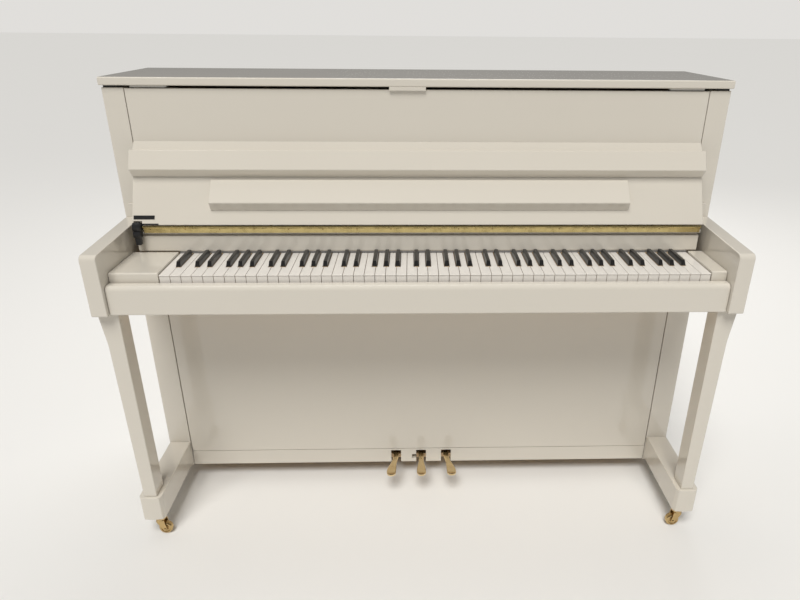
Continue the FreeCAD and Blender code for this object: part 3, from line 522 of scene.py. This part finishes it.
def grown(name, body, group, values, points, facing=None):
    # the group's result on a set of points, kept as a plain mesh
    mesh = bpy.data.meshes.new(name)
    mesh.from_pydata([Vector(point) * mm for point in points], [], [])
    if facing:
        held = mesh.attributes.new("facing", "FLOAT_VECTOR", "POINT")
        held.data.foreach_set("vector", [part for vector in facing for part in vector])
    made = newObject(name, mesh)
    modifier = made.modifiers.new("grown", "NODES")
    modifier.node_group = group
    for item in group.interface.items_tree:
        if item.in_out == "INPUT" and item.name in values:
            modifier[item.identifier] = values[item.name]
    applied(made)
    smooth(made, 40)
    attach(made, body)
    return made


def screwGroup(material, slotShadeMaterial):
    # a domed head on every point, each turned its own way, with a dark bar on top as painted shade for the
    # recessed driver slot
    shaper = Shaper("screwHeads", [("Head Radius", "Float"), ("Head Rise", "Float"), ("Seed", "Int")])
    radius, rise, seed = (shaper.given[name] for name in ("Head Radius", "Head Rise", "Seed"))
    dome = shaper.out("GeometryNodeMeshUVSphere", None, {"Segments": 20, "Rings": 10, "Radius": 1.0})
    size = shaper.out("ShaderNodeCombineXYZ", None, {"X": radius, "Y": radius, "Z": rise})
    head = shaper.out("GeometryNodeTransform", None, {"Geometry": dome, "Scale": size})
    head = shaper.out("GeometryNodeSetMaterial", None, {"Geometry": head, "Material": material})
    groove = shaper.out("ShaderNodeCombineXYZ", None, {
        "X": radius * 1.5, "Y": radius * 0.2, "Z": rise * 0.5})
    bar = shaper.out("GeometryNodeMeshCube", None, {"Size": groove})
    lift = shaper.out("ShaderNodeCombineXYZ", None, {"Z": rise * 0.78})
    bar = shaper.out("GeometryNodeTransform", None, {"Geometry": bar, "Translation": lift})
    # painted shade: the bar is dark where a real slot's recess would lie in shade
    bar = shaper.out("GeometryNodeSetMaterial", None, {"Geometry": bar, "Material": slotShadeMaterial})
    joined = shaper.node("GeometryNodeJoinGeometry")
    for part in (bar, head):
        shaper.tree.links.new(part.socket, joined.inputs[0])
    facing = shaper.out("GeometryNodeInputNamedAttribute", {"data_type": "FLOAT_VECTOR"}, {"Name": "facing"})
    aligned = shaper.out("FunctionNodeAlignEulerToVector", {"axis": "Z"}, {"Vector": facing})
    spread = shaper.node("FunctionNodeRandomValue", {"data_type": "FLOAT"})
    for index, value in ((2, 0.0), (3, 3.1)):
        spread.inputs[index].default_value = value
    shaper.tree.links.new(seed.socket, spread.inputs["Seed"])
    spin = shaper.out("ShaderNodeCombineXYZ", None, {"Z": Value(shaper, spread.outputs[1])})
    turned = shaper.out("FunctionNodeRotateEuler", {"space": "LOCAL"}, {
        "Rotation": aligned, "Rotate By": spin})
    placed = shaper.out("GeometryNodeInstanceOnPoints", None, {
        "Points": shaper.given["Geometry"], "Instance": Value(shaper, joined.outputs[0]), "Rotation": turned})
    solid = shaper.out("GeometryNodeRealizeInstances", None, {"Geometry": placed})
    shaper.node("NodeGroupOutput", sockets={"Geometry": solid})
    return shaper.group


def barrelGroup(material):
    # hinge barrels end to end along X, with the pin showing in the small gaps between them
    shaper = Shaper("hingeBarrels", [("Barrel Length", "Float"), ("Gap", "Float"), ("Radius", "Float")])
    length, gap, radius = (shaper.given[name] for name in ("Barrel Length", "Gap", "Radius"))
    tube = shaper.out("GeometryNodeMeshCylinder", None, {
        "Vertices": 20, "Radius": radius, "Depth": length - gap})
    placed = shaper.out("GeometryNodeInstanceOnPoints", None, {
        "Points": shaper.given["Geometry"], "Instance": tube, "Rotation": (0.0, math.pi / 2, 0.0)})
    return shaper.finish(placed, material)


screws = screwGroup(finishes["screw"], finishes["slotPaintedShade"])
bolts = screwGroup(finishes["ironBolt"], finishes["slotPaintedShade"])
hingeBarrels = barrelGroup(finishes["hingeBrass"])

foldLook = {    # in millimetres and degrees; a line is its name, its ends in X, its Y and Z, and its radius
    "hinge": (-106.0, 790.0), "lean": 27.0, "barrel": 19.0, "gap": 0.7,
    "lines": (("fallHinge", -648, 667, -106.0, 790.0, 3.2), ("lidHinge", -640, 640, 271.5, 1092.0, 2.6)),
}
screwLook = {"count": 17, "first": -632, "pitch": 80, "place": (-104.45, 784.6), "radius": 1.7, "rise": 0.5,
             "seed": 4}


def onBoard():    # board coordinates (x, out, up) to the model's own
    return (Matrix.Translation(Vector((0, *foldLook["hinge"])) * mm)
            @ Matrix.Rotation(-math.radians(foldLook["lean"]), 4, "X"))


def addHinges():
    look = foldLook
    for name, low, high, y, z, radius in look["lines"]:
        count = int((high - low) / look["barrel"])
        start = (low + high) / 2 - look["barrel"] * (count - 1) / 2
        spots = [(start + look["barrel"] * index, y, z) for index in range(count)]
        grown(name + "Barrels", "case", hingeBarrels, {
            "Barrel Length": look["barrel"] * mm, "Gap": look["gap"] * mm, "Radius": radius * mm}, spots)
    look = screwLook
    spots = [(look["first"] + look["pitch"] * index, *look["place"]) for index in range(look["count"])]
    sizes = {"Head Radius": look["radius"] * mm, "Head Rise": look["rise"] * mm, "Seed": look["seed"]}
    grown("fallHingeScrews", "case", screws, sizes, spots, [(0, -1, 0)] * len(spots))


addHinges()

boardLook = {    # opposite corners on the board: across, out and up, in millimetres
    "boardPlate": ((-667, -6.2, 17.5), (-619, -4.9, 26.5)),
    "boardArm": ((-647.5, -6.0, 4.4), (-610, -4.9, 7.6)),
}
for name, (low, high) in boardLook.items():
    block(name, "fallboard", "damper_black", finishes["blackPlastic"], low, high, 0.35, onBoard())

topLook = {    # in millimetres; tapes and pads are pairs: how far out, how deep, how high
    "topTape": ((689, 717), (-17, 262), (1089.6, 1094.2)),
    "lidPad": ((575, 655), (-24, -8), (1091.0, 1095.2)),
    "finger": ((-73, -27.6, 1086.5), (11, -22.2, 1095.3)),
    "stripFelt": ((-576, -95.0, 723.6), (648, -78, 726.8)),
}
for sign in (-1, 1):
    for name, body, felt in (("topTape", "case", "blackFelt"), ("lidPad", "lid", "muteFelt")):
        across, (front, back), (foot, head) = topLook[name]
        left, right = sorted(sign * reach for reach in across)
        block(f"{name}{sign}", body, "felt", finishes[felt], (left, front, foot), (right, back, head))
block("lidFinger", "lid", "case_lacquer", finishes["lacquer"], *topLook["finger"], 1.2)
block("stripFelt", "case", "felt", finishes["greyFelt"], *topLook["stripFelt"], 0.7)
print("hinges, plates and felts done")

pedalLook = {    # in millimetres, from the lever's tail to its toe
    "pitch": 73, "splay": 12, "tail": 118, "straight": (60, 20), "bend": -21, "toe": -115, "height": 72,
    "neck": 8.0, "broad": 13.0, "thin": 5.2, "thick": 6.2, "arch": 0.8, "steps": 24, "tipSteps": 10,
}


def easeIn(part):    # 0..1, slow at both ends
    return part * part * (3 - 2 * part)


def addPedal(hand, sign):
    look = pedalLook
    run = look["toe"] - look["bend"] + look["broad"]
    stations = [(sign * look["pitch"], y, look["height"], look["neck"], look["thin"])
                for y in (look["tail"], *look["straight"])]
    for step in range(look["steps"] + 1):
        part = step / look["steps"]
        swell = easeIn(min(max((part - 0.35) / 0.6, 0.0), 1.0))    # the toe widens after a third of the run
        waist = look["arch"] * math.sin(math.pi * min(part * 1.5, 1))
        stations.append((sign * (look["pitch"] + look["splay"] * easeIn(part)), look["bend"] + run * part,
                         look["height"] + look["arch"] * math.sin(math.pi * part),
                         look["neck"] - waist + (look["broad"] - look["neck"]) * swell,
                         look["thin"] + (look["thick"] - look["thin"]) * swell))
    x, y, z, wide, high = stations[-1]
    for step in range(1, look["tipSteps"] + 1):    # the rounded tip stops short of a point
        angle = math.pi / 2 * step / (look["tipSteps"] + 0.4)
        thinned = (0.45 + 0.55 * math.cos(angle)) * math.cos(angle) ** 0.3
        stations.append((x, y - look["broad"] * math.sin(angle), z, wide * math.cos(angle), high * thinned))
    made = sweep(f"pedalShape_{hand}", f"pedal_{hand}", finishes["pedalBrass"], stations)
    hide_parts(f"pedal_{hand}")


for hand, sign in (("left", -1), ("middle", 0), ("right", 1)):
    addPedal(hand, sign)

casterLook = {    # in millimetres; coats are the tread's finish and the hub's
    "front": {"place": (672, -241, 17), "axis": "Y", "half": 8, "radius": 17, "bore": 3.06, "rim": 5,
              "slot": "brass_fittings", "coats": ("casterBrass", "casterBrass")},
    "rear": {"place": (600, 232, 25), "axis": "X", "half": 12, "radius": 25, "bore": 4.06, "rim": 6,
             "slot": "caster_tread", "coats": ("tread", "hubIron")},
    "mountEdge": 0.8,
}
forkLook = {    # in millimetres; turned profiles are (along, radius, material)
    "trail": 10, "crownHeight": 50, "eye": 5.6, "cheek": (9.2, 11.8), "edge": 0.7,
    "crown": [(-5.5, 5.2, 0), (-5.5, 11.5, 0), (-3.6, 13.6, 0), (-1.2, 14.0, 0), (1.4, 13.2, 0),
              (2.9, 10.0, 0), (3.2, 5.2, 0), (-5.5, 5.2, 0)],
    "shoulders": ((8.5, 40), (9, 45.5), (-9.5, 45.5), (-11.5, 38)),
    "axleEnd": [(-13.6, 0.01, 0), (-13.6, 2.2, 0), (-12.9, 3.3, 0), (-11.8, 3.3, 0), (-11.8, 2.9, 0)],
}


def mirrored(side):    # one half of a turned profile, then the other
    return side + [(-along, radius, kind) for along, radius, kind in reversed(side)]


def wheelProfile(half, radius, bore, rim):    # material 0 on the tread, 1 on the hub
    inner = radius - rim
    side = [
        (-half + 1.2, bore, 1), (-half, bore + 0.6, 1), (-half, bore + 3.2, 1), (-half + 2.2, bore + 4.4, 1),
        (-half + 2.4, inner - 1.2, 1), (-half + 0.6, inner, 1), (-half + 0.5, radius - 3.4, 0),
        (-half + 1.4, radius - 1.2, 0), (-half + 3.2, radius, 0),
    ]
    return mirrored(side) + side[:1]


def addFork(hand, sign):
    # a turned crown with two tapered cheeks that carry the axle
    look = forkLook
    body = f"front_caster_fork_{hand}"
    brass = [finishes["casterBrass"]]
    x, y, z = casterLook["front"]["place"]
    pivot = x + look["trail"]
    made = lathe(f"forkCrown_{hand}", body, brass, look["crown"], "Z",
                 (sign * pivot, y, look["crownHeight"]), 48)
    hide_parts(body)
    outline = []
    for step in range(13):    # round the axle, from one side to the other
        angle = math.pi + math.pi * step / 12
        outline.append((x + look["eye"] * math.cos(angle), z + look["eye"] * math.sin(angle)))
    outline += [(pivot + across, height) for across, height in look["shoulders"]]
    count = len(outline)
    faces = [tuple(range(count)), tuple(range(2 * count - 1, count - 1, -1))]
    faces += [(step, (step + 1) % count, count + (step + 1) % count, count + step) for step in range(count)]
    for side in (-1, 1):
        depths = [y + side * reach for reach in look["cheek"]]
        points = [Vector((sign * across, depth, height)) * mm
                  for depth in depths for across, height in outline]
        cheek = meshObject(f"forkCheek_{hand}_{side}", points, faces, brass, body)
        eased(cheek, look["edge"])
    lathe(f"forkAxle_{hand}", body, brass, mirrored(look["axleEnd"]), "Y",
          (sign * x, y, z), 32)


def addWheel(end, hand, sign):
    look = casterLook[end]
    body = f"{end}_caster_wheel_{hand}"
    x, y, z = look["place"]
    profile = wheelProfile(look["half"], look["radius"], look["bore"], look["rim"])
    coats = [finishes[name] for name in look["coats"]]
    made = lathe(f"{end}Wheel_{hand}", body, coats, profile, look["axis"], (sign * x, y, z))
    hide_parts(body)


for hand, sign in (("left", -1), ("right", 1)):
    addWheel("front", hand, sign)
    addWheel("rear", hand, sign)
    addFork(hand, sign)
softened("caster_mounts", finishes["casterBrass"], casterLook["mountEdge"])

damperLook = {    # in millimetres; the lower drum and the foot are placed from the hinge line
    "left": -670, "right": -650, "drum": 12, "lower": 9.5, "lowerLength": 0.9, "lowerPlace": (-4.5, -16),
    "foot": ((-667, -10, -41), (-654, 1.2, -12)), "footEdge": 2.2,
}


def addDamper():    # the drum of the slow-close damper and its foot
    look = damperLook
    black = finishes["blackPlastic"]
    y, z = foldLook["hinge"]
    middle, half, drum = (look["left"] + look["right"]) / 2, (look["right"] - look["left"]) / 2, look["drum"]
    profile = [
        (-half, 0.01, 0), (-half, 9.0, 0), (-half + 1.2, 11.2, 0), (-half + 3, drum, 0), (half - 5, drum, 0),
        (half - 2, 11.0, 0), (half - 0.4, 8.6, 0), (half, 6.0, 0), (half - 1.2, 5.2, 0),
        (half - 1.2, 0.01, 0),
    ]
    made = lathe("damperDrum", "case", [black], profile, "X", (middle, y, z), 48)
    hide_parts("fallboard_damper")
    scale = look["lower"] / drum
    smaller = [(along * look["lowerLength"], radius * scale, kind) for along, radius, kind in profile]
    back, down = look["lowerPlace"]
    lathe("damperLower", "case", [black], smaller, "X", (middle, y + back, z + down), 40)
    low, high = ((across, y + depth, z + height) for across, depth, height in look["foot"])
    block("damperFoot", "case", "damper_black", black, low, high, look["footEdge"])


addDamper()
print("pedals, casters and damper done")

boltLook = {"heights": (95, 1045), "span": 600, "back": 268, "count": 11, "radius": 7, "rise": 2.2, "seed": 7}


def addBolts():    # one row through each back beam
    look = boltLook
    gaps = (look["count"] - 1) / 2
    spots = [(-look["span"] + index * look["span"] / gaps, look["back"], z)
             for z in look["heights"] for index in range(look["count"])]
    sizes = {"Head Radius": look["radius"] * mm, "Head Rise": look["rise"] * mm, "Seed": look["seed"]}
    grown("backBolts", "case", bolts, sizes, spots, [(0, 1, 0)] * len(spots))


addBolts()

cameraLook = {"lens": 29.04, "shift": (-0.0423, 0.0188), "place": (-0.02112, -1.57574, 1.23277),
              "yaw": 2.021, "pitch": -24.524, "roll": 0.527}


def addCamera():
    look = cameraLook
    yaw, pitch, roll = (math.radians(look[k]) for k in ("yaw", "pitch", "roll"))
    ahead = Vector((math.sin(yaw) * math.cos(pitch), math.cos(yaw) * math.cos(pitch), math.sin(pitch)))
    right = Vector((math.cos(yaw), -math.sin(yaw), 0))
    up = right.cross(ahead)
    turnedRight = right * math.cos(roll) + up * math.sin(roll)
    turnedUp = up * math.cos(roll) - right * math.sin(roll)
    data = bpy.data.cameras.new("camera")
    data.sensor_width = 36
    data.lens = look["lens"]
    data.shift_x, data.shift_y = look["shift"]
    data.clip_start = 0.05
    made = newObject("camera", data)
    made.matrix_world = Matrix((
        (turnedRight.x, turnedUp.x, -ahead.x, look["place"][0]),
        (turnedRight.y, turnedUp.y, -ahead.y, look["place"][1]),
        (turnedRight.z, turnedUp.z, -ahead.z, look["place"][2]),
        (0, 0, 0, 1)))
    scene.camera = made


studioLook = {    # in metres, watts and degrees
    "reach": 60, "floor": (0.83, 0.82, 0.80),
    "sky": (0.95, 0.95, 0.95), "seen": (0.75, 0.735, 0.71), "skyPower": 0.19,
    "sun": {"power": 2.6, "spread": 30, "from": (-0.12, -0.60, 1.0), "colour": (1.0, 0.99, 0.965)},
    "lights": (    # name, place, aimed at, width, height, watts, colour
        ("ceiling", (-0.3, 0.7, 3.3), (0, 0.1, 0.6), 3.0, 0.5, 14, (1.0, 0.99, 0.97)),
        ("backSoft", (0.6, 2.8, 2.4), (0, 0.1, 0.6), 2.6, 1.6, 26, (1.0, 0.99, 0.97)),
    ),
}


def addStudio():
    look = studioLook
    floorMesh = bpy.data.meshes.new("floor")
    reach = look["reach"]
    floorMesh.from_pydata([(-reach, -reach, 0), (reach, -reach, 0), (reach, reach, 0), (-reach, reach, 0)],
                          [], [(0, 1, 2, 3)])
    floor = newObject("floor", floorMesh)
    finish = Finish("studioFloor", Specular_IOR_Level=0.2)
    cloud = finish.noise(1.5, 2)
    finish.feed("Base Color", finish.blendColour(cloud, look["floor"], [c * 0.99 for c in look["floor"]]))
    finish.feed("Roughness", 0.75 + cloud * 0.1)
    floor.data.materials.append(finish.material)
    world = bpy.data.worlds.new("studio")
    world.use_nodes = True
    world.node_tree.nodes.clear()
    sky = Graph(world.node_tree)
    soft = sky.out("ShaderNodeBackground", None, {"Color": (*look["sky"], 1), "Strength": look["skyPower"]})
    plain = sky.out("ShaderNodeBackground", None, {"Color": (*look["seen"], 1), "Strength": 1.0})
    seen = sky.out("ShaderNodeLightPath", output="Is Camera Ray")
    both = sky.out("ShaderNodeMixShader", None, {0: seen, 1: soft, 2: plain})
    sky.node("ShaderNodeOutputWorld", sockets={"Surface": both})
    scene.world = world
    sun = look["sun"]
    data = bpy.data.lights.new("broadSun", "SUN")
    data.energy, data.color, data.angle = sun["power"], sun["colour"], math.radians(sun["spread"])
    lamp = newObject("broadSun", data)
    lamp.rotation_euler = Vector(sun["from"]).to_track_quat("Z", "Y").to_euler()
    lamp.visible_glossy = False    # too broad to be mirrored in the polish
    for name, place, aim, width, height, watts, colour in look["lights"]:
        data = bpy.data.lights.new(name, "AREA")
        data.shape = "RECTANGLE"
        data.size, data.size_y = width, height
        data.energy, data.color = watts, colour
        lamp = newObject(name, data)
        lamp.location = place
        lamp.rotation_euler = (Vector(aim) - Vector(place)).to_track_quat("-Z", "Y").to_euler()
    scene.view_settings.view_transform = "Standard"


addCamera()
addStudio()
print("studio ready")
